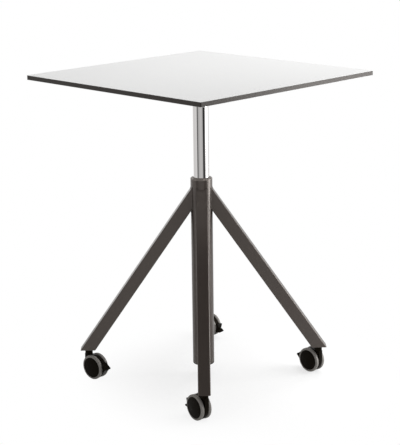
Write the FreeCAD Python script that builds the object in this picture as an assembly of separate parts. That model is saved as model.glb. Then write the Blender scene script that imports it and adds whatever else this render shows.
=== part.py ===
"""Height-adjustable mobile table: a square top on a gas-sprung column, slanted legs and twin-wheel casters.

Millimetres and degrees. The origin lies on the floor under the column, +Z is up, and the top's sides run
along X and Y. The legs stand on the diagonals, under the corners of the top.
"""
import FreeCAD
import Part
import math
import os

from FreeCAD import Vector

# Table top: a dark core between two white laminates
top_side = 750.0
top_thickness = 14.0
top_corner_radius = 3.0
laminate_thickness = 0.5
table_height = 988.0

# Fits shared by all pieces
running_clearance = 0.05
free_clearance = 0.4
cut_overrun = 30.0

# Outer column tube and the guide collar in its mouth
tube_diameter = 69.0
tube_wall = 2.5
tube_foot_height = 42.0
column_height = 662.5
collar_flange = 4.0
collar_chamfer = 2.0
collar_lip_height = 2.5
collar_lip_wall = 2.5
collar_lead_in = 0.8
collar_sleeve = 60.0

# Plug that closes the lower end of the outer tube
plug_flange = 3.5
plug_sleeve = 10.0
plug_wall = 3.0
plug_edge_radius = 1.5

# Lift tube with the glide bush on its lower end
lift_diameter = 50.0
lift_wall = 2.0
lift_up = 115.0
head_gap = 2.5
guide_margin = 50.0
glide_length = 40.0
glide_flange = 4.0

# Key rail inside the outer tube, which keeps the top from turning
rail_width = 8.0
rail_depth = 4.0
rail_end_gap = 3.0
rail_seat_gap = 0.3

# Gas spring: its rod stands on the foot plate, its cylinder hangs from the column head
spring_diameter = 28.0
spring_wall = 2.0
valve_length = 30.0
gland_length = 20.0
piston_length = 14.0
piston_margin = 15.0
spring_foot_gap = 10.0
rod_diameter = 10.0
rod_thread_diameter = 8.0
rod_thread_tail = 3.0
nut_across_flats = 13.0
nut_height = 6.5
foot_plate_thickness = 6.0
foot_plate_inset = 20.0

# Column head and the channel that carries the release lever
head_diameter = 80.0
head_thickness = 8.0
spigot_length = 20.0
channel_inner_width = 30.0
channel_wall = 3.0
channel_height = 26.0
channel_length = 90.0
channel_hole_diameter = 12.0

# Support cross under the top, with its screws
cross_thickness = 5.0
cross_reach = 260.0
cross_hub_diameter = 130.0
arm_root_width = 64.0
arm_tip_width = 36.0
inner_screw_reach = 125.0
screw_diameter = 5.0
screw_head_diameter = 11.0
screw_head_height = 3.0
screw_bite = 9.0

# Release lever: a bent flat bar with a moulded grip, and the spring's release pin under its inner end
lever_width = 16.0
lever_thickness = 5.0
lever_pivot_reach = 28.0
lever_tail = 8.0
lever_bend_reach = 70.0
lever_drop_run = 55.0
lever_drop = 16.0
lever_reach = 212.0
lever_pin_diameter = 6.0
lever_boss_diameter = 12.0
lever_contact_gap = 0.3
grip_length = 85.0
grip_width = 26.0
grip_thickness = 11.0
grip_corner_radius = 8.0
grip_edge_radius = 2.5
grip_end_wall = 6.0
release_pin_diameter = 6.0
release_pin_stand = 9.0
release_pin_tail = 6.0
release_pin_edge = 1.5

# Legs of rectangular tube
leg_depth = 40.0
leg_width = 38.0
leg_wall = 2.0
leg_inner_radius = 1.5
leg_reach = 398.8
leg_head_drop = 22.8

# Leg end plates and caster stems
end_plate_thickness = 5.0
socket_diameter = 16.0
socket_height = 20.0
stem_inset = 26.0
stem_thread_diameter = 10.0
stem_pin_diameter = 11.0
stem_pin_length = 31.0
stem_end_gap = 1.0

# Caster housing: a neck, a flat body between the wheels, and a beak with a tail fin behind them
caster_height = 93.5
caster_trail = 28.0
swivel_gap = 0.5
neck_diameter = 24.4
neck_knee_height = 60.0
body_thickness = 14.0
body_diameter = 78.0
body_chamfer = 1.5
wheel_margin = 2.5
neck_margin = 1.0
fin_height = 43.0
fin_thickness = 4.0
fin_width = 22.0
fin_reach = 86.0
fin_corner_radius = 3.0
beak_reach = 82.0

# Wheels: a core with a domed face, a soft tread and a shared axle
wheel_diameter = 80.0
wheel_gap = 0.5
axle_diameter = 8.0
axle_end_gap = 0.8
hub_diameter = 20.0
rim_diameter = 61.0
rim_wall = 5.0
recess_depth = 5.0
tread_setback = 0.5
tread_width = 10.5
tread_edge_radius = 3.0
face_diameter = 66.0
face_edge = 1.2
face_dome = 2.3
face_wall = 2.0

# Brake pedal, on two of the casters: a rocker with a tread plate below and a release pad above
pedal_pivot_trail = 50.0
pedal_pivot_height = 33.0
pedal_pin_diameter = 5.0
pedal_pin_inset = 0.4
pedal_hub_diameter = 13.0
pedal_width = 7.6
pedal_arm_thickness = 7.0
pedal_tip_thickness = 4.0
pedal_tip_height = 28.0
pedal_reach = 84.5
pedal_heel_reach = 60.0
pedal_heel_height = 23.0
pedal_notch_reach = 74.0
pedal_notch_height = 36.0
pad_reach = 78.5
pad_top = 53.0
pedal_swing_angle = 12.0

# The corners: angle of each leg about Z, angle in which its caster trails, and which casters have a brake
leg_angles = {"front_right": -45.0, "back_right": 45.0, "back_left": 135.0, "front_left": 225.0}
trail_angles = {"front_right": 171.0, "back_right": 177.0, "back_left": 5.0, "front_left": 5.0}
braked_corners = ("front_right", "back_left")

# Heights that follow from the sizes above, from the top down to the floor
top_underside = table_height - top_thickness
cross_underside = top_underside - cross_thickness
head_top = cross_underside - channel_height
head_bottom = head_top - head_thickness
lift_down = head_bottom - column_height - head_gap
collar_shoulder = column_height - collar_lip_height
tube_mouth = collar_shoulder - collar_flange
tube_end = tube_foot_height + plug_flange
collar_bottom = tube_mouth - collar_sleeve
lift_bottom = collar_bottom - guide_margin - lift_up - glide_length
foot_plate_bottom = tube_foot_height + foot_plate_inset
foot_plate_top = foot_plate_bottom + foot_plate_thickness
spring_bottom = foot_plate_top + spring_foot_gap + lift_down
piston_bottom = spring_bottom + gland_length + lift_up + piston_margin
piston_top = piston_bottom + piston_length

# Diameters and places shared by pieces that fit each other
tube_bore = tube_diameter - 2 * tube_wall
lift_bore = lift_diameter - 2 * lift_wall
spring_bore = spring_diameter - 2 * spring_wall
leg_rise = column_height - leg_head_drop - caster_height
lean = math.acos(leg_depth / 2 / math.hypot(leg_reach, leg_rise)) - math.atan2(leg_rise, leg_reach)
leg_cut_length = leg_depth / math.cos(lean)
leg_foot_reach = leg_reach - leg_cut_length / 2
stem_reach = leg_reach - stem_inset
wheel_radius = wheel_diameter / 2
body_half = body_thickness / 2
wheel_inner = body_half + wheel_gap
tread_inner = wheel_inner + tread_setback
tread_outer = tread_inner + tread_width
axle_half_length = tread_outer - face_wall

UP = Vector(0, 0, 1)
ACROSS = Vector(0, 1, 0)
ORIGIN = Vector(0, 0, 0)


def cylinder(diameter, low, high, x=0.0, y=0.0):
    """An upright cylinder between two heights."""
    return Part.makeCylinder(diameter / 2, high - low, Vector(x, y, low), UP)


def cross_cylinder(diameter, half_length, x, z):
    """A level cylinder along Y, centred on the XZ plane."""
    return Part.makeCylinder(diameter / 2, 2 * half_length, Vector(x, -half_length, z), ACROSS)


def ring(outer, inner, low, high):
    """An upright tube between two heights."""
    return cylinder(outer, low, high).cut(cylinder(inner, low, high))


def block(x0, x1, y0, y1, z0, z1):
    """A box between its six faces."""
    return Part.makeBox(x1 - x0, y1 - y0, z1 - z0, Vector(x0, y0, z0))


def upright_edges(shape):
    """The straight edges of a shape that stand parallel to Z."""
    straight = [edge for edge in shape.Edges if isinstance(edge.Curve, Part.Line)]
    return [edge for edge in straight if abs(edge.Curve.Direction.z) == 1]


def rounded_block(length, width, low, high, radius):
    """A box centred on the Z axis, with its upright edges rounded."""
    plain = block(-length / 2, length / 2, -width / 2, width / 2, low, high)
    return plain.makeFillet(radius, upright_edges(plain))


def prism(points, along):
    """A flat outline pushed along a vector."""
    return Part.Face(Part.makePolygon(points + points[:1])).extrude(along)


def turned(points):
    """An outline of (radius, height) points turned about the Z axis."""
    outline = [Vector(radius, 0, height) for radius, height in points]
    return Part.Face(Part.makePolygon(outline + outline[:1])).revolve(ORIGIN, UP, 360)


def tangent_point(x, z, centre_x, centre_z, radius, side):
    """Where the line from (x, z) touches a circle in the XZ plane, on the side given as +1 or -1."""
    distance = math.hypot(x - centre_x, z - centre_z)
    angle = math.atan2(z - centre_z, x - centre_x) + side * math.acos(radius / distance)
    return Vector(centre_x + radius * math.cos(angle), 0, centre_z + radius * math.sin(angle))


def table_top():
    """The three layers of the top, with pilot holes for the screws from below."""
    layers = {
        "under_laminate": (top_underside, top_underside + laminate_thickness),
        "top_core": (top_underside + laminate_thickness, table_height - laminate_thickness),
        "top_laminate": (table_height - laminate_thickness, table_height),
    }
    shapes = {}
    for name, (low, high) in layers.items():
        layer = rounded_block(top_side, top_side, low, high, top_corner_radius)
        if name != "top_laminate":
            for x, y in screw_places():
                layer = layer.cut(cylinder(screw_diameter, top_underside, top_underside + screw_bite, x, y))
        shapes[name] = layer
    return shapes


def screw_places():
    """Two screws on each arm of the cross, under the diagonals of the top."""
    places = []
    for leg_angle in leg_angles.values():
        angle = math.radians(leg_angle)
        for reach in (inner_screw_reach, cross_reach - arm_tip_width / 2):
            places.append((reach * math.cos(angle), reach * math.sin(angle)))
    return places


def support_cross():
    """A flat steel cross: a round middle and four tapered arms with round tips."""
    cross = cylinder(cross_hub_diameter, cross_underside, top_underside)
    tip_reach = cross_reach - arm_tip_width / 2
    for leg_angle in leg_angles.values():
        outline = [
            Vector(0, -arm_root_width / 2, cross_underside),
            Vector(tip_reach, -arm_tip_width / 2, cross_underside),
            Vector(tip_reach, arm_tip_width / 2, cross_underside),
            Vector(0, arm_root_width / 2, cross_underside),
        ]
        arm = prism(outline, UP * cross_thickness)
        arm = arm.fuse(cylinder(arm_tip_width, cross_underside, top_underside, tip_reach))
        cross = cross.fuse(arm.rotated(ORIGIN, UP, leg_angle))
    for x, y in screw_places():
        cross = cross.cut(cylinder(screw_diameter, cross_underside, top_underside, x, y))
    return cross.removeSplitter()


def top_screws():
    """Pan-head screws through the cross into the top."""
    screws = []
    for x, y in screw_places():
        head = cylinder(screw_head_diameter, cross_underside - screw_head_height, cross_underside, x, y)
        shank = cylinder(screw_diameter, cross_underside, top_underside + screw_bite, x, y)
        screws.append(head.fuse(shank).removeSplitter())
    return Part.makeCompound(screws)


def column_head():
    """A flange with a spigot in the lift tube, bored for the gas spring."""
    head = cylinder(head_diameter, head_bottom, head_top)
    head = head.fuse(cylinder(lift_bore, head_bottom - spigot_length, head_bottom))
    return head.cut(cylinder(spring_diameter, head_bottom - spigot_length, head_top)).removeSplitter()


def lever_channel():
    """A folded channel between the column head and the cross, open at both ends for the lever."""
    half_width = channel_inner_width / 2 + channel_wall
    half_length = channel_length / 2
    outer = block(-half_width, half_width, -half_length, half_length, head_top, cross_underside)
    inner = block(
        -channel_inner_width / 2, channel_inner_width / 2, -half_length, half_length,
        head_top + channel_wall, cross_underside,
    )
    hole = cylinder(channel_hole_diameter, head_top, head_top + channel_wall)
    return outer.cut(inner).cut(hole).cut(lever_pin())


def lever_height():
    """Height of the lever's pivot: the bar lies just above the release pin."""
    return head_top + release_pin_stand + lever_contact_gap + lever_thickness / 2


def lever_axis_cylinder(diameter, half_length):
    """A level cylinder along X on the lever's pivot."""
    start = Vector(-half_length, -lever_pivot_reach, lever_height())
    return Part.makeCylinder(diameter / 2, 2 * half_length, start, Vector(1, 0, 0))


def lever_pin():
    """The pivot pin, held in both walls of the channel."""
    return lever_axis_cylinder(lever_pin_diameter, channel_inner_width / 2 + channel_wall)


def release_lever():
    """A flat bar that runs from above the release pin out under the front edge of the top."""
    level = lever_height()
    half = lever_thickness / 2
    drop_end = lever_bend_reach + lever_drop_run
    mitre = half * math.tan(math.atan2(lever_drop, lever_drop_run) / 2)
    middle = [
        (-lever_tail, level, 0),
        (lever_bend_reach, level, -mitre),
        (drop_end, level - lever_drop, mitre),
        (lever_reach, level - lever_drop, 0),
    ]
    upper = [Vector(-lever_width / 2, -(reach - shift), height + half) for reach, height, shift in middle]
    lower = [Vector(-lever_width / 2, -(reach + shift), height - half) for reach, height, shift in middle]
    bar = prism(upper + lower[::-1], Vector(lever_width, 0, 0))
    boss = lever_axis_cylinder(lever_boss_diameter, channel_inner_width / 2 - free_clearance)
    bore = lever_axis_cylinder(lever_pin_diameter + 2 * running_clearance, channel_inner_width / 2)
    return bar.fuse(boss).cut(bore).removeSplitter()


def lever_grip():
    """A moulded paddle pushed over the end of the lever."""
    level = lever_height() - lever_drop
    outer_end = lever_reach + grip_end_wall
    paddle = rounded_block(
        grip_width, grip_length, level - grip_thickness / 2, level + grip_thickness / 2, grip_corner_radius
    )
    rims = [edge for face in paddle.Faces if abs(face.normalAt(0, 0).z) == 1 for edge in face.Edges]
    paddle = paddle.makeFillet(grip_edge_radius, rims)
    paddle.translate(Vector(0, grip_length / 2 - outer_end, 0))
    pocket = block(
        -lever_width / 2, lever_width / 2, -lever_reach, grip_length - outer_end,
        level - lever_thickness / 2, level + lever_thickness / 2,
    )
    return paddle.cut(pocket)


def gas_spring():
    """Cylinder, gland and release pin hang from the head; rod, piston and nut stand on the foot plate."""
    bore_top = head_top - valve_length
    cylinder_shell = cylinder(spring_diameter, spring_bottom, head_top)
    cylinder_shell = cylinder_shell.cut(cylinder(spring_bore, spring_bottom, bore_top))
    valve_bore = release_pin_diameter + 2 * running_clearance
    cylinder_shell = cylinder_shell.cut(cylinder(valve_bore, bore_top, head_top))
    rod = cylinder(rod_diameter, foot_plate_top, piston_bottom)
    rod_tail = foot_plate_bottom - nut_height - rod_thread_tail
    rod = rod.fuse(cylinder(rod_thread_diameter, rod_tail, foot_plate_top)).removeSplitter()
    corner = nut_across_flats / 2 / math.cos(math.radians(30))
    flats = [Vector(corner, 0, foot_plate_bottom - nut_height)]
    for step in range(1, 6):
        turn = math.radians(step * 60)
        flats.append(Vector(corner * math.cos(turn), corner * math.sin(turn), foot_plate_bottom - nut_height))
    nut = prism(flats, UP * nut_height)
    rod_bore = rod_diameter + 2 * running_clearance
    pin_top = head_top + release_pin_stand
    pin = cylinder(release_pin_diameter, bore_top - release_pin_tail, pin_top)
    pin = pin.makeFillet(release_pin_edge, [edge for edge in pin.Edges if edge.BoundBox.ZMin > head_top])
    return {
        "spring_cylinder": cylinder_shell,
        "rod_gland": ring(spring_bore, rod_bore, spring_bottom, spring_bottom + gland_length),
        "release_pin": pin,
        "spring_rod": rod,
        "spring_piston": cylinder(spring_bore - 2 * running_clearance, piston_bottom, piston_top),
        "rod_nut": nut.cut(cylinder(rod_thread_diameter, foot_plate_bottom - nut_height, foot_plate_bottom)),
    }


def outer_column():
    """The painted outer tube with its collar, foot plate, key rail and end plug."""
    tube_radius = tube_diameter / 2
    bore_radius = lift_diameter / 2 + running_clearance
    collar = turned([
        (bore_radius, collar_bottom),
        (tube_bore / 2, collar_bottom),
        (tube_bore / 2, tube_mouth),
        (tube_radius, tube_mouth),
        (tube_radius, collar_shoulder - collar_chamfer),
        (tube_radius - collar_chamfer, collar_shoulder),
        (bore_radius + collar_lip_wall, collar_shoulder),
        (bore_radius + collar_lead_in, column_height),
        (bore_radius, column_height - collar_lead_in),
    ])
    rail = block(
        -tube_bore / 2, rail_depth - tube_bore / 2, -rail_width / 2, rail_width / 2,
        foot_plate_top + rail_end_gap, collar_bottom - rail_end_gap,
    )
    plate = ring(tube_bore, rod_thread_diameter, foot_plate_bottom, foot_plate_top)
    plug = cylinder(tube_diameter, tube_foot_height, tube_end)
    plug = plug.makeFillet(plug_edge_radius, [edge for edge in plug.Edges if edge.BoundBox.ZMax < tube_end])
    plug = plug.fuse(ring(tube_bore, tube_bore - 2 * plug_wall, tube_end, tube_end + plug_sleeve))
    return {
        "outer_tube": ring(tube_diameter, tube_bore, tube_end, tube_mouth),
        "tube_end_plug": plug.removeSplitter(),
        "guide_collar": collar,
        "key_rail": rail.common(cylinder(tube_bore - 2 * rail_seat_gap, foot_plate_top, collar_bottom)),
        "tube_foot_plate": plate,
    }


def lift_column():
    """The chrome tube and the glide bush that runs in the outer tube, notched for the key rail."""
    glide_top = lift_bottom + glide_length
    glide_diameter = tube_bore - 2 * running_clearance
    glide = cylinder(glide_diameter, lift_bottom - glide_flange, glide_top)
    glide = glide.cut(cylinder(lift_diameter, lift_bottom, glide_top))
    glide = glide.cut(cylinder(lift_bore, lift_bottom - glide_flange, lift_bottom))
    notch_half = rail_width / 2 + free_clearance
    notch = block(
        -tube_diameter, rail_depth + free_clearance - tube_bore / 2, -notch_half, notch_half,
        lift_bottom - glide_flange, glide_top,
    )
    return {
        "lift_tube": ring(lift_diameter, lift_bore, lift_bottom, head_bottom),
        "glide_bush": glide.cut(notch),
    }


def leg_bar(trim):
    """The leg's section, drawn in by a trim all round, from below the foot up to the column's axis."""
    radius = leg_inner_radius + leg_wall - trim
    slope_length = leg_foot_reach / math.sin(lean)
    bar = rounded_block(leg_depth - 2 * trim, leg_width - 2 * trim, -leg_depth, slope_length, radius)
    bar.rotate(ORIGIN, ACROSS, -math.degrees(lean))
    bar.translate(Vector(leg_foot_reach, 0, caster_height))
    return bar


def leg():
    """One leg along +X: coped to the outer tube at its head and cut level at its foot."""
    above_foot = block(0, leg_reach + cut_overrun, -leg_width, leg_width, caster_height, column_height)
    tube_space = cylinder(tube_diameter, 0, column_height)
    return leg_bar(0).cut(leg_bar(leg_wall)).common(above_foot).cut(tube_space)


def leg_end_plate():
    """A plate inside the leg's foot with a socket for the caster's stem."""
    plate_top = caster_height + end_plate_thickness
    slab = block(0, leg_reach + cut_overrun, -leg_width, leg_width, caster_height, plate_top)
    plate = leg_bar(leg_wall).common(slab)
    socket_top = caster_height + socket_height
    plate = plate.fuse(cylinder(socket_diameter, plate_top, socket_top, stem_reach)).removeSplitter()
    return plate.cut(cylinder(stem_thread_diameter, caster_height, socket_top, stem_reach))


def caster_stem():
    """A threaded stem in the leg's socket, with the pin on which the caster swivels."""
    pin = cylinder(stem_pin_diameter, caster_height - stem_pin_length, caster_height, stem_reach)
    thread = cylinder(stem_thread_diameter, caster_height, caster_height + socket_height, stem_reach)
    return pin.fuse(thread).removeSplitter()


def caster_body():
    """The flat part of the housing between the wheels, run up to the neck on tangents."""
    neck_radius = neck_diameter / 2
    body_radius = body_diameter / 2
    clear_radius = wheel_radius + neck_margin
    neck_bottom = wheel_radius + math.sqrt(clear_radius**2 - (caster_trail - neck_radius) ** 2)
    disc = turned([
        (0, -body_half),
        (body_radius - body_chamfer, -body_half),
        (body_radius, body_chamfer - body_half),
        (body_radius, body_half - body_chamfer),
        (body_radius - body_chamfer, body_half),
        (0, body_half),
    ])
    disc.rotate(ORIGIN, Vector(1, 0, 0), -90)
    disc.translate(Vector(caster_trail, 0, wheel_radius))
    flank = [
        Vector(-neck_radius, 0, neck_bottom),
        Vector(neck_radius, 0, neck_bottom),
        tangent_point(neck_radius, neck_bottom, caster_trail, wheel_radius, body_radius, -1),
        Vector(caster_trail, 0, wheel_radius),
        tangent_point(-neck_radius, neck_knee_height, caster_trail, wheel_radius, body_radius, 1),
        Vector(-neck_radius, 0, neck_knee_height),
    ]
    flank = [point - ACROSS * body_half for point in flank]
    body = disc.fuse(prism(flank, ACROSS * body_thickness))
    return body.fuse(cylinder(neck_diameter, neck_bottom, caster_height - swivel_gap))


def tail():
    """A wedge behind the body, run out on tangents, wider behind the wheels and ending in a level fin."""
    low = fin_height - fin_thickness / 2
    high = fin_height + fin_thickness / 2
    body_radius = body_diameter / 2
    outline = [
        tangent_point(beak_reach, low, caster_trail, wheel_radius, body_radius, -1),
        Vector(beak_reach, 0, low),
        Vector(beak_reach, 0, high),
        tangent_point(beak_reach, high, caster_trail, wheel_radius, body_radius, 1),
        Vector(caster_trail, 0, wheel_radius),
    ]
    beak = prism([point - ACROSS * body_half for point in outline], ACROSS * body_thickness)
    hood = prism([point - ACROSS * (fin_width / 2) for point in outline], ACROSS * fin_width)
    fin = rounded_block(2 * (fin_reach - caster_trail), fin_width, low, high, fin_corner_radius)
    fin.translate(Vector(caster_trail, 0, 0))
    fin = fin.common(block(caster_trail, fin_reach, -fin_width, fin_width, low, high))
    return fin.fuse(hood).cut(wheel_space()).fuse(beak)


def wheel_space():
    """The room that the wheels need behind them."""
    return cross_cylinder(wheel_diameter + 2 * wheel_margin, fin_width, caster_trail, wheel_radius)


def caster_housing(braked):
    """The moulded housing, bored for stem and axle and slotted for the pedal where it has one."""
    housing = caster_body()
    if not braked:
        housing = housing.fuse(tail())
    housing = housing.removeSplitter()
    bore_bottom = caster_height - stem_pin_length - stem_end_gap
    bore = cylinder(stem_pin_diameter + 2 * running_clearance, bore_bottom, caster_height)
    housing = housing.cut(bore).cut(cross_cylinder(axle_diameter, body_half, caster_trail, wheel_radius))
    if braked:
        housing = housing.cut(pedal_slot()).cut(pedal_pin())
    return housing


def pedal_slot():
    """The room in the housing for the pedal's hub and for its arm over the whole swing."""
    half = pedal_width / 2 + free_clearance
    hub = cross_cylinder(pedal_hub_diameter + 2 * free_clearance, half, pedal_pivot_trail, pedal_pivot_height)
    reach = pedal_reach - pedal_pivot_trail
    arm_half = pedal_arm_thickness / 2 + free_clearance
    room = None
    for angle in (pedal_slope(), pedal_slope() + pedal_swing_angle):
        arm = block(0, reach, -half, half, -arm_half, arm_half)
        arm.rotate(ORIGIN, ACROSS, angle)
        arm.translate(Vector(pedal_pivot_trail, 0, pedal_pivot_height))
        room = arm if room is None else room.fuse(arm)
    return hub.fuse(room)


def pedal_slope():
    """How far the pedal's arm slopes down, in degrees."""
    drop = pedal_pivot_height - pedal_tip_height
    return math.degrees(math.atan2(drop, pedal_reach - pedal_pivot_trail))


def pedal_pin():
    """The pin across the slot on which the pedal rocks."""
    half_length = body_half - pedal_pin_inset
    return cross_cylinder(pedal_pin_diameter, half_length, pedal_pivot_trail, pedal_pivot_height)


def brake_pedal():
    """A rocker: a narrow arm between the wheels, and behind them a release pad over a tread plate."""
    reach = math.hypot(pedal_reach - pedal_pivot_trail, pedal_pivot_height - pedal_tip_height)
    half_arm = pedal_arm_thickness / 2
    half_tip = pedal_tip_thickness / 2
    bar = [
        Vector(0, 0, -half_arm),
        Vector(reach, 0, -half_tip),
        Vector(reach, 0, half_tip),
        Vector(0, 0, half_arm),
    ]
    arm = prism([point - ACROSS * (pedal_width / 2) for point in bar], ACROSS * pedal_width)
    arm.rotate(ORIGIN, ACROSS, pedal_slope())
    arm.translate(Vector(pedal_pivot_trail, 0, pedal_pivot_height))
    pads = [
        Vector(pedal_heel_reach, 0, pedal_heel_height),
        Vector(pedal_reach, 0, pedal_tip_height - half_tip),
        Vector(pedal_reach, 0, pedal_tip_height + half_tip),
        Vector(pedal_notch_reach, 0, pedal_notch_height),
        Vector(pad_reach, 0, pad_top),
        Vector(pedal_heel_reach, 0, pad_top),
    ]
    pads = prism([point - ACROSS * (fin_width / 2) for point in pads], ACROSS * fin_width)
    hub = cross_cylinder(pedal_hub_diameter, pedal_width / 2, pedal_pivot_trail, pedal_pivot_height)
    bore = cross_cylinder(
        pedal_pin_diameter + 2 * running_clearance, pedal_width, pedal_pivot_trail, pedal_pivot_height
    )
    return pads.cut(wheel_space()).fuse(arm).fuse(hub).removeSplitter().cut(bore)


def wheel_core():
    """A wheel body turned about +Z: hub, recessed inner side, rim and domed outer face."""
    face_radius = face_diameter / 2
    edge_height = tread_outer + face_edge
    dome_height = edge_height + face_dome
    ball_radius = (face_radius**2 + face_dome**2) / (2 * face_dome)
    half_radius = face_radius / 2
    shoulder = dome_height - ball_radius + math.sqrt(ball_radius**2 - half_radius**2)
    bore_radius = axle_diameter / 2 + running_clearance
    bore_end = axle_half_length + axle_end_gap
    recess = wheel_inner + recess_depth
    outline = [
        (0, bore_end),
        (bore_radius, bore_end),
        (bore_radius, wheel_inner),
        (hub_diameter / 2, wheel_inner),
        (hub_diameter / 2, recess),
        (rim_diameter / 2 - rim_wall, recess),
        (rim_diameter / 2 - rim_wall, wheel_inner),
        (rim_diameter / 2, wheel_inner),
        (rim_diameter / 2, tread_outer),
        (face_radius, tread_outer),
        (face_radius, edge_height),
    ]
    points = [Vector(radius, 0, height) for radius, height in outline]
    edges = [Part.makeLine(start, end) for start, end in zip(points, points[1:])]
    crown = Vector(0, 0, dome_height)
    edges.append(Part.Arc(points[-1], Vector(half_radius, 0, shoulder), crown).toShape())
    edges.append(Part.makeLine(crown, points[0]))
    return Part.Face(Part.Wire(edges)).revolve(ORIGIN, UP, 360)


def wheel_tread():
    """A soft ring on the rim, turned about +Z, with round shoulders."""
    rim_radius = rim_diameter / 2
    tread = turned([
        (rim_radius, tread_inner),
        (wheel_radius, tread_inner),
        (wheel_radius, tread_outer),
        (rim_radius, tread_outer),
    ])
    rims = []
    for edge in tread.Edges:
        if isinstance(edge.Curve, Part.Circle) and edge.Curve.Radius > face_diameter / 2:
            rims.append(edge)
    return tread.makeFillet(tread_edge_radius, rims)


def on_axle(shape, side):
    """A shape turned about +Z, laid on the axle to the left (+1) or right (-1) of the trailing direction."""
    laid = shape.rotated(ORIGIN, Vector(1, 0, 0), -90 * side)
    return laid.translated(Vector(caster_trail, 0, wheel_radius))


def caster(corner):
    """All pieces of one caster, swung to its trailing direction and set under its leg."""
    braked = corner in braked_corners
    pieces = {
        "housing": caster_housing(braked),
        "axle": cross_cylinder(axle_diameter, axle_half_length, caster_trail, wheel_radius),
    }
    for side, word in ((1, "left"), (-1, "right")):
        pieces["wheel_" + word] = on_axle(wheel_core(), side)
        pieces["tread_" + word] = on_axle(wheel_tread(), side)
    if braked:
        pieces["brake_pedal"] = brake_pedal()
        pieces["pedal_pin"] = pedal_pin()
    angle = math.radians(leg_angles[corner])
    place = Vector(stem_reach * math.cos(angle), stem_reach * math.sin(angle), 0)
    placed = {}
    for word, shape in pieces.items():
        placed[f"caster_{corner}_{word}"] = shape.rotated(ORIGIN, UP, trail_angles[corner]).translated(place)
    return placed


def table():
    """Every piece of the table by name."""
    nodes = {}
    nodes.update(table_top())
    nodes["support_cross"] = support_cross()
    nodes["top_screws"] = top_screws()
    nodes["column_head"] = column_head()
    nodes["lever_channel"] = lever_channel()
    nodes["lever_pin"] = lever_pin()
    nodes["release_lever"] = release_lever()
    nodes["lever_grip"] = lever_grip()
    nodes.update(gas_spring())
    nodes.update(lift_column())
    nodes.update(outer_column())
    plates = []
    stems = []
    for corner, leg_angle in leg_angles.items():
        nodes["leg_" + corner] = leg().rotated(ORIGIN, UP, leg_angle)
        plates.append(leg_end_plate().rotated(ORIGIN, UP, leg_angle))
        stems.append(caster_stem().rotated(ORIGIN, UP, leg_angle))
        nodes.update(caster(corner))
    nodes["leg_end_plates"] = Part.makeCompound(plates)
    nodes["caster_stems"] = Part.makeCompound(stems)
    return nodes


os.makedirs("parts", exist_ok=True)
for node, shape in table().items():
    shape.exportStep(os.path.join("parts", node + ".step"))
    print(node, "solids", len(shape.Solids), "valid", shape.isValid(), "volume", round(shape.Volume))
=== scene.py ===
"""Height-adjustable mobile table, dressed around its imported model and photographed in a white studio."""
import math

import bmesh
import bpy
from mathutils import Matrix, Vector


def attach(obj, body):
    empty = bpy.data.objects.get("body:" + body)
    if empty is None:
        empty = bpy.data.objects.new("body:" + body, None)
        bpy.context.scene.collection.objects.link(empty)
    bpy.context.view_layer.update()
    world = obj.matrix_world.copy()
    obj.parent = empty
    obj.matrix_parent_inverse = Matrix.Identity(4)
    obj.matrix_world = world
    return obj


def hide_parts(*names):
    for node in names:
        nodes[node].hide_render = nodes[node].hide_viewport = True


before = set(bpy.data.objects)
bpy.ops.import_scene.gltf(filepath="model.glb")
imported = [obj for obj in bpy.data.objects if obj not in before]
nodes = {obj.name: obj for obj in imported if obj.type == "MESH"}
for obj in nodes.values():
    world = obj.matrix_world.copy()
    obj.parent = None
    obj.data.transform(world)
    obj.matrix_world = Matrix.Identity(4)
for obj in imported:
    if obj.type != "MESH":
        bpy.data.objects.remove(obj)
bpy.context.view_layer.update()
corners = ("front_right", "back_right", "back_left", "front_left")
braked_corners = ("front_right", "back_left")


# Welded base frame: a round steel column tube and four legs of rectangular steel tube, cut to the
# column's curve, welded to it and powder coated in one warm anthracite. The coat has a fine orange peel.
# Its edges are painted paler, partly for a coat that lies thinner there and partly as a painted highlight.
blotch_scale = 14.0
patch_scale = 160.0
flat_bend, full_bend = 0.99, 0.80


def shader_group(name, inputs, outputs):
    """An empty node group with named sockets; returns it with its input and output nodes."""
    group = bpy.data.node_groups.new(name, "ShaderNodeTree")
    for socket, kind, value in inputs:
        made = group.interface.new_socket(name=socket, in_out="INPUT", socket_type="NodeSocket" + kind)
        if value is not None:
            made.default_value = value
    for socket, kind in outputs:
        group.interface.new_socket(name=socket, in_out="OUTPUT", socket_type="NodeSocket" + kind)
    return group, group.nodes.new("NodeGroupInput"), group.nodes.new("NodeGroupOutput")


def fill(tree, node, links):
    """Links or fills a node's inputs, by name or number."""
    for key, value in links.items():
        if isinstance(value, bpy.types.NodeSocket):
            tree.links.new(value, node.inputs[key])
        else:
            node.inputs[key].default_value = value
    return node


def put(tree, kind, links=None, **values):
    """A new node with its properties set and its inputs linked or filled."""
    node = tree.nodes.new("ShaderNode" + kind)
    for key, value in values.items():
        setattr(node, key, value)
    return fill(tree, node, links or {})


def place_group(tree, group, links):
    """Places a shared group in a material's tree."""
    node = tree.nodes.new("ShaderNodeGroup")
    node.node_tree = group
    return fill(tree, node, links)


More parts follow.
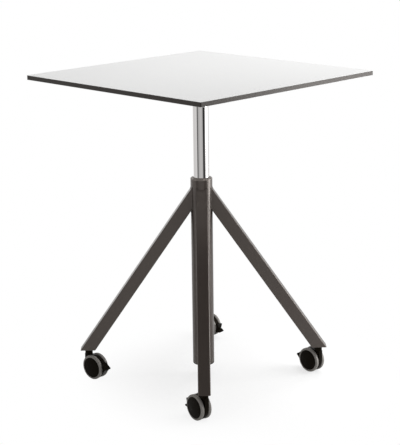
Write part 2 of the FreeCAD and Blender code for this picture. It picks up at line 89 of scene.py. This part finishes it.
def grain_group():
    """Fine grain over a broad drift: colour, roughness and height that change over the surface."""
    group, given, out = shader_group(
        "fine_grain",
        [
            ("Colour", "Color", None),
            ("Drift", "Float", 0.06),
            ("Grain Scale", "Float", 900.0),
            ("Roughness", "Float", 0.4),
            ("Roughness Spread", "Float", 0.06),
            ("Stretch", "Vector", (1.0, 1.0, 1.0)),
        ],
        [("Colour", "Color"), ("Roughness", "Float"), ("Height", "Float")],
    )
    place = put(group, "TexCoord").outputs["Object"]
    drawn = put(group, "VectorMath", {0: place, 1: given.outputs["Stretch"]}, operation="MULTIPLY").outputs[0]
    broad = put(group, "TexNoise", {"Vector": place, "Scale": blotch_scale, "Detail": 3.0}).outputs["Fac"]
    fine = put(group, "TexNoise", {"Vector": drawn, "Scale": given.outputs["Grain Scale"], "Detail": 2.0})
    blotch = put(group, "Math", {0: broad, 1: 0.5}, operation="SUBTRACT").outputs[0]
    drift = put(group, "Math", {0: blotch, 1: given.outputs["Drift"]}, operation="MULTIPLY").outputs[0]
    shade = put(group, "Math", {0: drift, 1: 1.0}, operation="ADD").outputs[0]
    colour = put(group, "VectorMath", {0: given.outputs["Colour"], "Scale": shade}, operation="SCALE")
    speck = put(group, "Math", {0: fine.outputs["Fac"], 1: 0.5}, operation="SUBTRACT").outputs[0]
    reach = given.outputs["Roughness Spread"]
    spread = put(group, "Math", {0: speck, 1: reach}, operation="MULTIPLY").outputs[0]
    rough = put(group, "Math", {0: spread, 1: given.outputs["Roughness"]}, operation="ADD", use_clamp=True)
    group.links.new(colour.outputs[0], out.inputs["Colour"])
    group.links.new(rough.outputs[0], out.inputs["Roughness"])
    group.links.new(fine.outputs["Fac"], out.inputs["Height"])
    return group


def edge_group():
    """Colour that goes over to a paler one along the edges, partly where the coat or skin lies thinner and
    partly as a painted highlight.
    """
    group, given, out = shader_group(
        "worn_highlit_edges",
        [
            ("Colour", "Color", None),
            ("Edge Colour", "Color", None),
            ("Width", "Float", 0.0015),
            ("Strength", "Float", 0.5),
        ],
        [("Colour", "Color")],
    )
    round_normal = put(group, "Bevel", {"Radius": given.outputs["Width"]}, samples=4).outputs["Normal"]
    true_normal = put(group, "NewGeometry").outputs["Normal"]
    along = put(group, "VectorMath", {0: round_normal, 1: true_normal}, operation="DOT_PRODUCT")
    bent = put(
        group, "MapRange",
        {"Value": along.outputs["Value"], "From Min": flat_bend, "From Max": full_bend,
         "To Min": 0.0, "To Max": 1.0},
    )
    place = put(group, "TexCoord").outputs["Object"]
    patches = put(group, "TexNoise", {"Vector": place, "Scale": patch_scale, "Detail": 3.0}).outputs["Fac"]
    wear_and_highlight = put(group, "Math", {0: bent.outputs[0], 1: patches}, operation="MULTIPLY").outputs[0]
    share = put(group, "Math", {0: wear_and_highlight, 1: given.outputs["Strength"]}, operation="MULTIPLY").outputs[0]
    mixed = put(group, "Mix", {"Factor": share}, data_type="RGBA")
    group.links.new(given.outputs["Colour"], mixed.inputs[6])
    group.links.new(given.outputs["Edge Colour"], mixed.inputs[7])
    group.links.new(mixed.outputs[2], out.inputs["Colour"])
    return group


fine_grain = grain_group()
worn_highlit_edges = edge_group()


def finish_material(name, colour, grain, edge=None, bump=0.1, bump_depth=0.0002, **shader):
    """A finish from the shared groups: grained colour, paler edges where given (part wear, part painted
    highlight), and a fine bump.
    """
    material = bpy.data.materials.new(name)
    material.use_nodes = True
    tree = material.node_tree
    surface = tree.nodes["Principled BSDF"]
    for key, value in shader.items():
        surface.inputs[key.replace("_", " ")].default_value = value
    grained = place_group(tree, fine_grain, dict(grain, Colour=(*colour, 1.0)))
    shown = grained.outputs["Colour"]
    if edge:
        edge_colour, width, strength = edge
        worn_highlit_node = place_group(
            tree, worn_highlit_edges,
            {"Colour": shown, "Edge Colour": (*edge_colour, 1.0), "Width": width, "Strength": strength},
        )
        shown = worn_highlit_node.outputs["Colour"]
    tree.links.new(shown, surface.inputs["Base Color"])
    tree.links.new(grained.outputs["Roughness"], surface.inputs["Roughness"])
    height = grained.outputs["Height"]
    relief = put(tree, "Bump", {"Height": height, "Strength": bump, "Distance": bump_depth})
    tree.links.new(relief.outputs["Normal"], surface.inputs["Normal"])
    return material


def dress(material, *names):
    """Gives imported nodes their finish."""
    for name in names:
        nodes[name].data.materials.clear()
        nodes[name].data.materials.append(material)


warm_shine = (1.0, 0.92, 0.86, 1.0)
frame_paint = finish_material(
    "frame_paint", (0.050, 0.038, 0.032),
    {"Drift": 0.10, "Grain Scale": 700.0, "Roughness": 0.30, "Roughness Spread": 0.08},
    edge=((0.14, 0.125, 0.115), 0.0012, 0.5), bump=0.10, bump_depth=0.0003,
    Specular_IOR_Level=1.0, Specular_Tint=warm_shine,
)
dress(frame_paint, "outer_tube", *["leg_" + corner for corner in corners])


# Weld beads: a seam of weld metal all round the head of each leg, where it meets the column. It ripples
# from the pulses of the weld, and the coat of the frame covers it.
leg_directions = {"front_right": -45.0, "back_right": 45.0, "back_left": 135.0, "front_left": 225.0}
leg_depth = 0.040
leg_width = 0.038
leg_corner = 0.0035
leg_reach = 0.3988
leg_rise = 0.5462
leg_foot_height = 0.0935
column_radius = 0.0345
bead_radius = 0.0013
bead_ripple = 0.12
bead_pitch = 0.0032
bead_step = 0.0006
bead_sides = 8
bead_stand = 0.3
leg_corner_steps = 6
smooth_angle = math.radians(38)


def loft(shape, rings, closed=False):
    """Skins a row of equal rings; a row that doesn't close gets a face at both ends."""
    rows = [[shape.verts.new(point) for point in ring] for ring in rings]
    pairs = list(zip(rows, rows[1:]))
    if closed:
        pairs.append((rows[-1], rows[0]))
    for near, far in pairs:
        for here in range(len(near)):
            after = (here + 1) % len(near)
            shape.faces.new((near[here], near[after], far[after], far[here]))
    if not closed:
        shape.faces.new(list(reversed(rows[0])))
        shape.faces.new(rows[-1])


def piece(name, shape, material, body):
    """Makes an object of a finished shape and lets it ride on its body."""
    bmesh.ops.recalc_face_normals(shape, faces=shape.faces)
    mesh = bpy.data.meshes.new(name)
    shape.to_mesh(mesh)
    shape.free()
    mesh.shade_smooth()
    mesh.set_sharp_from_angle(angle=smooth_angle)
    mesh.materials.append(material)
    made = bpy.data.objects.new(name, mesh)
    bpy.context.scene.collection.objects.link(made)
    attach(made, body)
    return made


def leg_outline():
    """Close points round a leg's section, each with the way it faces, as depth and width."""
    turns = []
    for quarter, (out, side) in enumerate(((1, 1), (-1, 1), (-1, -1), (1, -1))):
        middle = Vector((out * (leg_depth / 2 - leg_corner), side * (leg_width / 2 - leg_corner)))
        for step in range(leg_corner_steps + 1):
            angle = math.radians(90) * (quarter + step / leg_corner_steps)
            facing = Vector((math.cos(angle), math.sin(angle)))
            turns.append((middle + facing * leg_corner, facing))
    outline = []
    for (start, facing), (end, _) in zip(turns, turns[1:] + turns[:1]):
        steps = max(1, round((end - start).length / bead_step))
        outline += [(start.lerp(end, step / steps), facing) for step in range(steps)]
    return outline


def weld_line(direction):
    """The seam of one leg: places on the column's surface, with the way out from column and leg."""
    lean = math.acos(leg_depth / 2 / math.hypot(leg_reach, leg_rise)) - math.atan2(leg_rise, leg_reach)
    foot_reach = leg_reach - leg_depth / math.cos(lean) / 2
    turn = Matrix.Rotation(math.radians(direction), 3, "Z")
    line = []
    for (depth, width), facing in leg_outline():
        reach = math.sqrt(column_radius**2 - width**2)
        along = (foot_reach + depth * math.cos(lean) - reach) / math.sin(lean)
        height = leg_foot_height + depth * math.sin(lean) + along * math.cos(lean)
        outward = Vector((reach, width, 0)).normalized()
        off_leg = Vector((facing.x * math.cos(lean), facing.y, facing.x * math.sin(lean)))
        line.append((turn @ Vector((reach, width, height)), turn @ outward, turn @ off_leg))
    return line


beads = bmesh.new()
for corner in corners:
    seam = weld_line(leg_directions[corner])
    travelled = 0.0
    rings = []
    for number, (place, outward, off_leg) in enumerate(seam):
        before, after = seam[number - 1][0], seam[(number + 1) % len(seam)][0]
        beside = (after - before).normalized().cross(outward)
        travelled += (place - before).length if number else 0.0
        swell = bead_radius * (1 + bead_ripple * math.sin(2 * math.pi * travelled / bead_pitch))
        middle = place + (outward + off_leg) * bead_radius * bead_stand
        around = [2 * math.pi * side / bead_sides for side in range(bead_sides)]
        rings.append([middle + (outward * math.cos(a) + beside * math.sin(a)) * swell for a in around])
    loft(beads, rings, closed=True)
piece("weld_beads", beads, frame_paint, "base")


# Feet of the legs: steel plates welded inside the level cut, each with a threaded socket for the stem
# of its caster. Both are zinc plated.
bare_steel = finish_material(
    "bare_steel", (0.46, 0.46, 0.45),
    {"Drift": 0.25, "Grain Scale": 400.0, "Roughness": 0.38, "Roughness Spread": 0.20},
    bump=0.08, Metallic=1.0,
)
bright_steel = finish_material(
    "bright_steel", (0.62, 0.62, 0.61),
    {"Drift": 0.10, "Grain Scale": 1200.0, "Roughness": 0.22, "Roughness Spread": 0.10},
    bump=0.04, Metallic=1.0,
)
dress(bare_steel, "leg_end_plates")
dress(bright_steel, "caster_stems")


# Guide collar: a moulded plastic bush pressed into the mouth of the column tube, in which the lift tube
# slides. Its colour is the frame's warm tone made several times paler, which is painted light standing in for
# the brighter light on the collar.
collar_plastic = finish_material(
    "collar_plastic", (0.210, 0.184, 0.168),
    {"Drift": 0.08, "Grain Scale": 1500.0, "Roughness": 0.38, "Roughness Spread": 0.08}, bump=0.05,
    Specular_IOR_Level=0.9, Specular_Tint=warm_shine,
)
dress(collar_plastic, "guide_collar")


# Foot of the column: a steel plate inside the tube that carries the gas spring's rod, a key rail welded
# to the wall against turning, and a black moulded plug that closes the end.
black_plastic = finish_material(
    "black_plastic", (0.018, 0.017, 0.016),
    {"Drift": 0.15, "Grain Scale": 1800.0, "Roughness": 0.46, "Roughness Spread": 0.12}, bump=0.12,
)
dress(bare_steel, "tube_foot_plate", "key_rail", "rod_nut", "spring_piston")
dress(black_plastic, "tube_end_plug")


# Gas spring inside the column: a black painted steel cylinder that hangs from the head, with an acetal
# gland, and a ground rod that stands on the foot plate. The glide bush on the lift tube is acetal too.
# Its edges are painted paler, partly wear of the coat and partly a painted highlight.
black_steel = finish_material(
    "black_steel", (0.022, 0.021, 0.020),
    {"Drift": 0.15, "Grain Scale": 650.0, "Roughness": 0.42, "Roughness Spread": 0.12},
    edge=((0.07, 0.068, 0.065), 0.001, 0.6), bump=0.12, bump_depth=0.0003,
)
glide_plastic = finish_material(
    "glide_plastic", (0.60, 0.59, 0.56),
    {"Drift": 0.06, "Grain Scale": 1500.0, "Roughness": 0.48, "Roughness Spread": 0.08}, bump=0.05,
)
dress(black_steel, "spring_cylinder")
dress(glide_plastic, "rod_gland", "glide_bush")
dress(bright_steel, "spring_rod", "release_pin")


# Lift tube: bright chrome on ground steel, held in the column's head and running in the guide collar.
# Drawing and the collar leave faint lines along it.
drawn_scale = (1.0, 1.0, 0.004)


def chrome_finish():
    """Polished chrome with fine lines along the tube."""
    material = bpy.data.materials.new("chrome_tube")
    material.use_nodes = True
    tree = material.node_tree
    surface = tree.nodes["Principled BSDF"]
    surface.inputs["Metallic"].default_value = 1.0
    grained = place_group(
        tree, fine_grain,
        {"Colour": (0.80, 0.78, 0.77, 1.0), "Drift": 0.04, "Grain Scale": 300.0, "Roughness": 0.06,
         "Roughness Spread": 0.03},
    )
    place = put(tree, "TexCoord").outputs["Object"]
    stretched = put(tree, "Mapping", {"Vector": place, "Scale": drawn_scale}).outputs[0]
    lines = put(tree, "TexNoise", {"Vector": stretched, "Scale": 1600.0, "Detail": 2.0}).outputs["Fac"]
    relief = put(tree, "Bump", {"Height": lines, "Strength": 0.02, "Distance": 0.0001})
    tree.links.new(grained.outputs["Colour"], surface.inputs["Base Color"])
    tree.links.new(grained.outputs["Roughness"], surface.inputs["Roughness"])
    tree.links.new(relief.outputs["Normal"], surface.inputs["Normal"])
    return material


dress(chrome_finish(), "lift_tube")


# Head of the column: a turned flange on the lift tube, the folded channel of the release lever and the
# flat steel cross under the top, all black powder coated, with plated screws.
dress(black_steel, "column_head", "lever_channel", "support_cross", "release_lever")
dress(bare_steel, "lever_pin")
dress(black_plastic, "lever_grip")


eased_plate = 0.0006
joined_distance = 0.00001
eased_angle = math.radians(40)


def soften(width, *names):
    """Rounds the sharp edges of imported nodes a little, as bending, coating and moulding do."""
    for name in names:
        joined = nodes[name].modifiers.new("joined_faces", "WELD")
        joined.merge_threshold = joined_distance
        rounded = nodes[name].modifiers.new("eased_edges", "BEVEL")
        rounded.width = width
        rounded.segments = 2
        rounded.limit_method = "ANGLE"
        rounded.angle_limit = eased_angle


soften(eased_plate, "column_head", "release_lever")


# Screws that hold the top to the cross: zinc plated steel, with a round head and a hexagon socket, driven
# from below through the arms into the core.
screw_reaches = (0.125, 0.244)
screw_head_seat = 0.969
screw_sides = 24
screw_rings = (
    (0.0018, 0.0), (0.0, 0.0), (0.0, 0.0036), (0.0004, 0.0049), (0.0013, 0.0055), (0.0030, 0.0055),
    (0.0030, 0.0025), (0.0160, 0.0025), (0.0170, 0.0010),
)
socket_half = 0.0015
screw_head_height = 0.003
screw_turn = 0.7


def screw_ring(middle, depth, radius, turned):
    """One ring of a screw at a depth from its head's face; nought as radius gives the hexagon socket."""
    ring = []
    for side in range(screw_sides):
        angle = 2 * math.pi * side / screw_sides
        flat = (angle % math.radians(60)) - math.radians(30)
        reach = radius or socket_half / math.cos(flat)
        spot = Vector((reach * math.cos(angle + turned), reach * math.sin(angle + turned), depth))
        ring.append(middle + spot)
    return ring


screws = bmesh.new()
for number, corner in enumerate(corners):
    for reach in screw_reaches:
        angle = math.radians(leg_directions[corner])
        face = Vector((reach * math.cos(angle), reach * math.sin(angle), screw_head_seat - screw_head_height))
        turned = screw_turn * number + reach
        loft(screws, [screw_ring(face, depth, radius, turned) for depth, radius in screw_rings])
screw_piece = piece("socket_screws", screws, bare_steel, "column")
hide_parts("top_screws")


# Grip of the release lever: a black moulded sleeve over the end of the bar, rounded at all its edges and
# thinned from below towards the tip, with low ridges across both faces for the fingers.
grip_tip = -0.218
grip_length = 0.085
grip_half_width = 0.013
grip_top = 0.9443
grip_bottom = 0.9333
grip_thinning = 0.0024
grip_thinned_length = 0.045
grip_corner = 0.008
grip_edge = 0.0025
grip_ring_places = (0.0, 0.00008, 0.0003, 0.0007, 0.0013, 0.0019, 0.0025, 0.004, 0.006, 0.008)
grip_middle_steps = 18
grip_rib_from = 0.024
grip_rib_spacing = 0.008
grip_rib_count = 6
grip_rib_size = (0.018, 0.0026, 0.0006)
grip_corner_steps = 5
grip_least_round = 0.125
rib_profile = ((-0.5, 0.3), (-0.46, 0.85), (-0.40, 1.0), (0.40, 1.0), (0.46, 0.85), (0.5, 0.3))
rib_sides = 10


def stand_back(distance, radius):
    """How far a rounded edge stands back at a distance from the end."""
    missing = max(0.0, radius - distance)
    return radius - math.sqrt(radius**2 - missing**2)


def grip_underside(along):
    """Height of the grip's lower face at a distance from its tip."""
    share = max(0.0, 1 - along / grip_thinned_length)
    return grip_bottom + grip_thinning * share**2 * (3 - 2 * share)


def grip_ring(along):
    """Section of the grip at a distance from its tip: a rectangle with round corners."""
    from_end = min(along, grip_length - along)
    inset = stand_back(from_end, grip_edge)
    half = grip_half_width - stand_back(from_end, grip_corner) - inset
    radius = max(grip_edge - inset, grip_edge * grip_least_round)
    low, high = grip_underside(along) + inset + radius, grip_top - inset - radius
    ring = []
    for quarter, (side, level) in enumerate(((1, high), (-1, high), (-1, low), (1, low))):
        middle = Vector((side * (half - radius), grip_tip + along, level))
        for step in range(grip_corner_steps + 1):
            angle = math.radians(90) * (quarter + step / grip_corner_steps)
            ring.append(middle + Vector((math.cos(angle), 0, math.sin(angle))) * radius)
    return ring


grip_end = grip_ring_places[-1]
grip_step = (grip_length - 2 * grip_end) / grip_middle_steps
grip_places = list(grip_ring_places)
grip_places += [grip_end + grip_step * step for step in range(1, grip_middle_steps)]
grip_places += [grip_length - place for place in reversed(grip_ring_places)]
grip = bmesh.new()
loft(grip, [grip_ring(along) for along in grip_places])
grip_piece = piece("moulded_grip", grip, black_plastic, "lever")
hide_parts("lever_grip")


def rib(shape, middle, along, up, length, width, tall):
    """A low ridge with round ends, half sunk in the surface that carries it."""
    across = up.cross(along)
    rings = []
    for place, size in rib_profile:
        centre = middle + along * length * place
        ring = []
        for side in range(rib_sides):
            angle = 2 * math.pi * side / rib_sides
            ring.append(centre + (across * width / 2 * math.cos(angle) + up * tall * math.sin(angle)) * size)
        rings.append(ring)
    loft(shape, rings)


ribs = bmesh.new()
for number in range(grip_rib_count):
    along = grip_rib_from + grip_rib_spacing * number
    for level, way in ((grip_underside(along), -1), (grip_top, 1)):
        spot = Vector((0, grip_tip + along, level))
        rib(ribs, spot, Vector((1, 0, 0)), Vector((0, 0, way)), *grip_rib_size)
piece("grip_ribs", ribs, black_plastic, "lever")


# Table top: a dark sealed fibre core between two white melamine laminates, pressed as one board and sawn to
# size, so that the core shows as a brown band all round. It is screwed to the cross.
white_laminate = finish_material(
    "white_laminate", (0.83, 0.83, 0.825),
    {"Drift": 0.015, "Grain Scale": 1100.0, "Roughness": 0.42, "Roughness Spread": 0.05},
    bump=0.03, bump_depth=0.0001, Specular_IOR_Level=0.25,
)
dark_core = finish_material(
    "dark_core", (0.030, 0.025, 0.022),
    {"Drift": 0.15, "Grain Scale": 900.0, "Roughness": 0.40, "Roughness Spread": 0.15,
     "Stretch": (0.03, 0.03, 1.0)},
    bump=0.15, bump_depth=0.0003, Specular_IOR_Level=0.40, Specular_Tint=(1.0, 0.93, 0.88, 1.0),
)
dress(white_laminate, "top_laminate", "under_laminate")
dress(dark_core, "top_core")


# Casters: black nylon housings and wheel bodies with a soft satin shine, grey polyurethane treads
# moulded round the rims, plated axles and pins.
eased_moulding = 0.0008
caster_plastic = finish_material(
    "caster_plastic", (0.0046, 0.0034, 0.0020),
    {"Drift": 0.2, "Grain Scale": 1500.0, "Roughness": 0.33, "Roughness Spread": 0.10}, bump=0.05,
    Specular_IOR_Level=0.055, Specular_Tint=(1.0, 0.80, 0.58, 1.0),
)
tread_grey = finish_material(
    "tread_grey", (0.255, 0.238, 0.22),
    {"Drift": 0.10, "Grain Scale": 1000.0, "Roughness": 0.55, "Roughness Spread": 0.10}, bump=0.10,
)
for corner in corners:
    caster = "caster_" + corner + "_"
    dress(caster_plastic, caster + "housing", caster + "wheel_left", caster + "wheel_right")
    dress(tread_grey, caster + "tread_left", caster + "tread_right")
    dress(bright_steel, caster + "axle")
    soften(eased_moulding, caster + "housing")
    if corner in braked_corners:
        dress(caster_plastic, caster + "brake_pedal")
        dress(bright_steel, caster + "pedal_pin")
        soften(eased_moulding, caster + "brake_pedal")


# Relief on the casters: a raised ring on each wheel's face and ribs across the slope of each pedal, where
# the foot presses. Both are moulded in one with the black nylon that carries them.
stem_reach = 0.3728
caster_trail = 0.028
trail_directions = {"front_right": 171.0, "back_right": 177.0, "back_left": 5.0, "front_left": 5.0}
axle_height = 0.040
ring_radius = 0.0278
ring_offset = 0.0203
ring_width = 0.0016
ring_height = 0.0006
ring_steps = 72
ring_sides = 8
pedal_slope = (Vector((0.0740, 0.0360)), Vector((0.0845, 0.0300)))
pedal_rib_places = (0.25, 0.52, 0.79)
pedal_rib_size = (0.016, 0.0016, 0.0006)
upward = Vector((0, 0, 1))
for corner in corners:
    leg_turn = math.radians(leg_directions[corner])
    stem = Vector((stem_reach * math.cos(leg_turn), stem_reach * math.sin(leg_turn), 0))
    trail_turn = math.radians(trail_directions[corner])
    trail = Vector((math.cos(trail_turn), math.sin(trail_turn), 0))
    across = Vector((-trail.y, trail.x, 0))
    for side, word in ((1, "left"), (-1, "right")):
        middle = stem + trail * caster_trail + upward * axle_height + across * side * ring_offset
        face_ring = bmesh.new()
        rings = []
        for step in range(ring_steps):
            angle = 2 * math.pi * step / ring_steps
            outward = trail * math.cos(angle) + upward * math.sin(angle)
            section = [2 * math.pi * point / ring_sides for point in range(ring_sides)]
            rings.append([
                middle + outward * (ring_radius + ring_width / 2 * math.cos(a))
                + across * side * ring_height * math.sin(a)
                for a in section
            ])
        loft(face_ring, rings, closed=True)
        wheel = "wheel_" + corner + "_" + word
        piece("face_ring_" + corner + "_" + word, face_ring, caster_plastic, wheel)
    if corner in braked_corners:
        treads = bmesh.new()
        high, low = pedal_slope
        fall = trail * (low - high).x + upward * (low - high).y
        for share in pedal_rib_places:
            spot = high.lerp(low, share)
            middle = stem + trail * spot.x + upward * spot.y
            rib(treads, middle, across, across.cross(fall.normalized()), *pedal_rib_size)
        piece("pedal_ribs_" + corner, treads, caster_plastic, "pedal_" + corner)


# Studio floor: a round sheet of white paper under the casters. It keeps a faint shadow of the table, runs
# out into plain white, and is clear from below.
floor_radius = 1.3
shade_radius = 0.20
shade_end = 0.54
shade_place = (0.07, 0.07, 0.0)
floor_sides = 96
floor_grey = (0.60, 0.60, 0.60, 1.0)
shade_grey = (0.41, 0.41, 0.41, 1.0)
shade_glow = 0.645
floor_mirrored = 0.4
pure_white = (1.0, 1.0, 1.0, 1.0)
floor_mesh = bpy.data.meshes.new("studio_floor")
rim = [math.radians(360 * side / floor_sides) for side in range(floor_sides)]
floor_mesh.from_pydata(
    [(floor_radius * math.cos(angle), floor_radius * math.sin(angle), 0) for angle in rim],
    [], [list(range(floor_sides))],
)
floor = bpy.data.objects.new("studio_floor", floor_mesh)
bpy.context.scene.collection.objects.link(floor)
floor.location = shade_place
floor_paper = bpy.data.materials.new("floor_paper")
floor_paper.use_nodes = True
tree = floor_paper.node_tree
tree.nodes.clear()
plain = put(tree, "BsdfDiffuse", {"Color": floor_grey})
lifted = put(tree, "BsdfDiffuse", {"Color": shade_grey})
glow = put(tree, "Emission", {"Color": pure_white, "Strength": shade_glow})
shaded = put(tree, "AddShader", {0: lifted.outputs[0], 1: glow.outputs[0]})
bare = put(tree, "Emission", {"Color": pure_white, "Strength": 1.0})
place = put(tree, "TexCoord").outputs["Object"]
reach = put(tree, "VectorMath", {0: place}, operation="LENGTH").outputs["Value"]
outward = put(
    tree, "MapRange",
    {"Value": reach, "From Min": shade_radius, "From Max": shade_end, "To Min": 0.0, "To Max": 1.0},
    interpolation_type="SMOOTHSTEP",
)
seen = put(tree, "MixShader", {0: outward.outputs[0], 1: shaded.outputs[0], 2: bare.outputs[0]})


def any_ray(tree, **shares):
    """The share given to the ray's kind, or nought for a kind that isn't named."""
    rays = put(tree, "LightPath")
    found = 0.0
    for kind, share in shares.items():
        ray = rays.outputs["Is " + kind.capitalize() + " Ray"]
        part = put(tree, "Math", {0: ray, 1: share}, operation="MULTIPLY").outputs[0]
        found = put(tree, "Math", {0: part, 1: found}, operation="MAXIMUM").outputs[0]
    return found


shown = any_ray(tree, camera=1.0, transmission=1.0, glossy=floor_mirrored)
choose = put(tree, "MixShader", {0: shown, 1: plain.outputs[0], 2: seen.outputs[0]})
clear = put(tree, "BsdfTransparent", {"Color": pure_white})
underside = put(tree, "NewGeometry").outputs["Backfacing"]
sheet = put(tree, "MixShader", {0: underside, 1: choose.outputs[0], 2: clear.outputs[0]})
put(tree, "OutputMaterial", {"Surface": sheet.outputs[0]})
floor_mesh.materials.append(floor_paper)


# Studio round the table: white to the eye. Polished faces see a bright card behind, grey ones to the left
# and in front, a narrow flag left of the camera, a broad dark one on the right and a dim ceiling. The light
# on everything else is soft and comes from all round.
world = bpy.data.worlds.new("studio")
bpy.context.scene.world = world
world.use_nodes = True
tree = world.node_tree
tree.nodes.clear()
view_turn = math.radians(-45.0)
card_levels = [
    (-180, 1.2), (-155, 1.2), (-138, 0.86),
    (-115, 0.70), (-80, 0.76), (-59, 0.77), (-54, 0.12), (-42, 0.14), (-35, 0.46),
    (-12, 0.58), (0, 0.61), (17, 0.54), (27, 0.46), (31, 0.03), (55, 0.03), (61, 0.50), (66, 0.95),
    (120, 1.0), (150, 0.80), (180, 0.92),
]
card_edge = (28.0, 45.0)
wall_edge = (30.0, 60.0)
wall_levels = [(-180, 0.62), (-120, 0.62), (-60, 0.46), (0, 0.44), (60, 0.55), (110, 0.75), (180, 0.62)]
card_ceiling = 0.06
ceiling_level = 0.55
direction = put(tree, "TexCoord").outputs["Generated"]
ahead = (math.cos(view_turn), math.sin(view_turn), 0)
beside = (-math.sin(view_turn), math.cos(view_turn), 0)
toward = put(tree, "VectorMath", {0: direction, 1: ahead}, operation="DOT_PRODUCT").outputs["Value"]
across = put(tree, "VectorMath", {0: direction, 1: beside}, operation="DOT_PRODUCT").outputs["Value"]
bearing = put(tree, "Math", {0: across, 1: toward}, operation="ARCTAN2").outputs[0]
turn = put(tree, "MapRange", {"Value": bearing, "From Min": -math.pi, "From Max": math.pi}).outputs[0]
height = put(tree, "SeparateXYZ", {0: direction}).outputs["Z"]


def round_room(levels, ceiling, edge):
    """Light that changes with the bearing from the camera and goes over into a ceiling."""
    low_edge, high_edge = (math.sin(math.radians(angle)) for angle in edge)
    walls = put(tree, "ValToRGB", {0: turn})
    elements = walls.color_ramp.elements
    while len(elements) < len(levels):
        elements.new(1.0)
    for element, (angle, level) in zip(elements, levels):
        element.position = (angle + 180) / 360
        element.color = (level, level, level, 1.0)
    raised = put(
        tree, "MapRange",
        {"Value": height, "From Min": low_edge, "From Max": high_edge},
        interpolation_type="SMOOTHSTEP",
    )
    low = put(tree, "Background", {"Color": walls.outputs["Color"], "Strength": 1.0})
    high = put(tree, "Background", {"Color": pure_white, "Strength": ceiling})
    return put(tree, "MixShader", {0: raised.outputs[0], 1: low.outputs[0], 2: high.outputs[0]}).outputs[0]


cards = round_room(card_levels, card_ceiling, card_edge)
room = round_room(wall_levels, ceiling_level, wall_edge)
white = put(tree, "Background", {"Color": pure_white, "Strength": 1.0}).outputs[0]
mirrored = put(tree, "MixShader", {0: any_ray(tree, glossy=1.0), 1: room, 2: cards}).outputs[0]
shown = any_ray(tree, camera=1.0, transmission=1.0)
choose = put(tree, "MixShader", {0: shown, 1: mirrored, 2: white})
put(tree, "OutputWorld", {"Surface": choose.outputs[0]})


# Soft boxes: a large one above and behind the table, for the top, and a tall one on its right, for the
# column and legs, which stays below the level of the top.
def soft_lamp(name, place, aim, width, tall, watts):
    """A lamp with a rectangular face that looks at a point and isn't seen itself."""
    lamp = bpy.data.lights.new(name, "AREA")
    lamp.shape = "RECTANGLE"
    lamp.size = width
    lamp.size_y = tall
    lamp.energy = watts
    holder = bpy.data.objects.new(name, lamp)
    holder.location = place
    holder.rotation_euler = (Vector(aim) - Vector(place)).to_track_quat("-Z", "Y").to_euler()
    holder.visible_camera = False
    bpy.context.scene.collection.objects.link(holder)


soft_lamp("back_lamp", (0.15, 0.85, 2.3), (0, 0, 0.5), 1.4, 1.4, 16.0)
soft_lamp("right_lamp", (0.92, 0.92, 0.48), (0.0, 0.0, 0.50), 0.6, 0.95, 10.0)


# Camera at the photographer's place: off the near corner of the top and above its height, with a long lens,
# looking down on it and held a little askew.
camera_place = (2.64362, -2.65336, 1.53966)
camera_heading = math.radians(134.9876)
camera_pitch = math.radians(15.3245)
camera_roll = math.radians(0.7745)
focal_length = 99.356
sensor_width = 36.0
forward = Vector((
    math.cos(camera_heading) * math.cos(camera_pitch),
    math.sin(camera_heading) * math.cos(camera_pitch),
    -math.sin(camera_pitch),
))
level_right = forward.cross(Vector((0, 0, 1))).normalized()
level_up = level_right.cross(forward)
right = level_right * math.cos(camera_roll) - level_up * math.sin(camera_roll)
up = level_right * math.sin(camera_roll) + level_up * math.cos(camera_roll)
lens = bpy.data.cameras.new("studio_camera")
lens.lens = focal_length
lens.sensor_width = sensor_width
camera = bpy.data.objects.new("studio_camera", lens)
turned = Matrix((right, up, -forward)).transposed().to_4x4()
camera.matrix_world = Matrix.Translation(camera_place) @ turned
bpy.context.scene.collection.objects.link(camera)
bpy.context.scene.camera = camera
bpy.context.scene.view_settings.view_transform = "Standard"
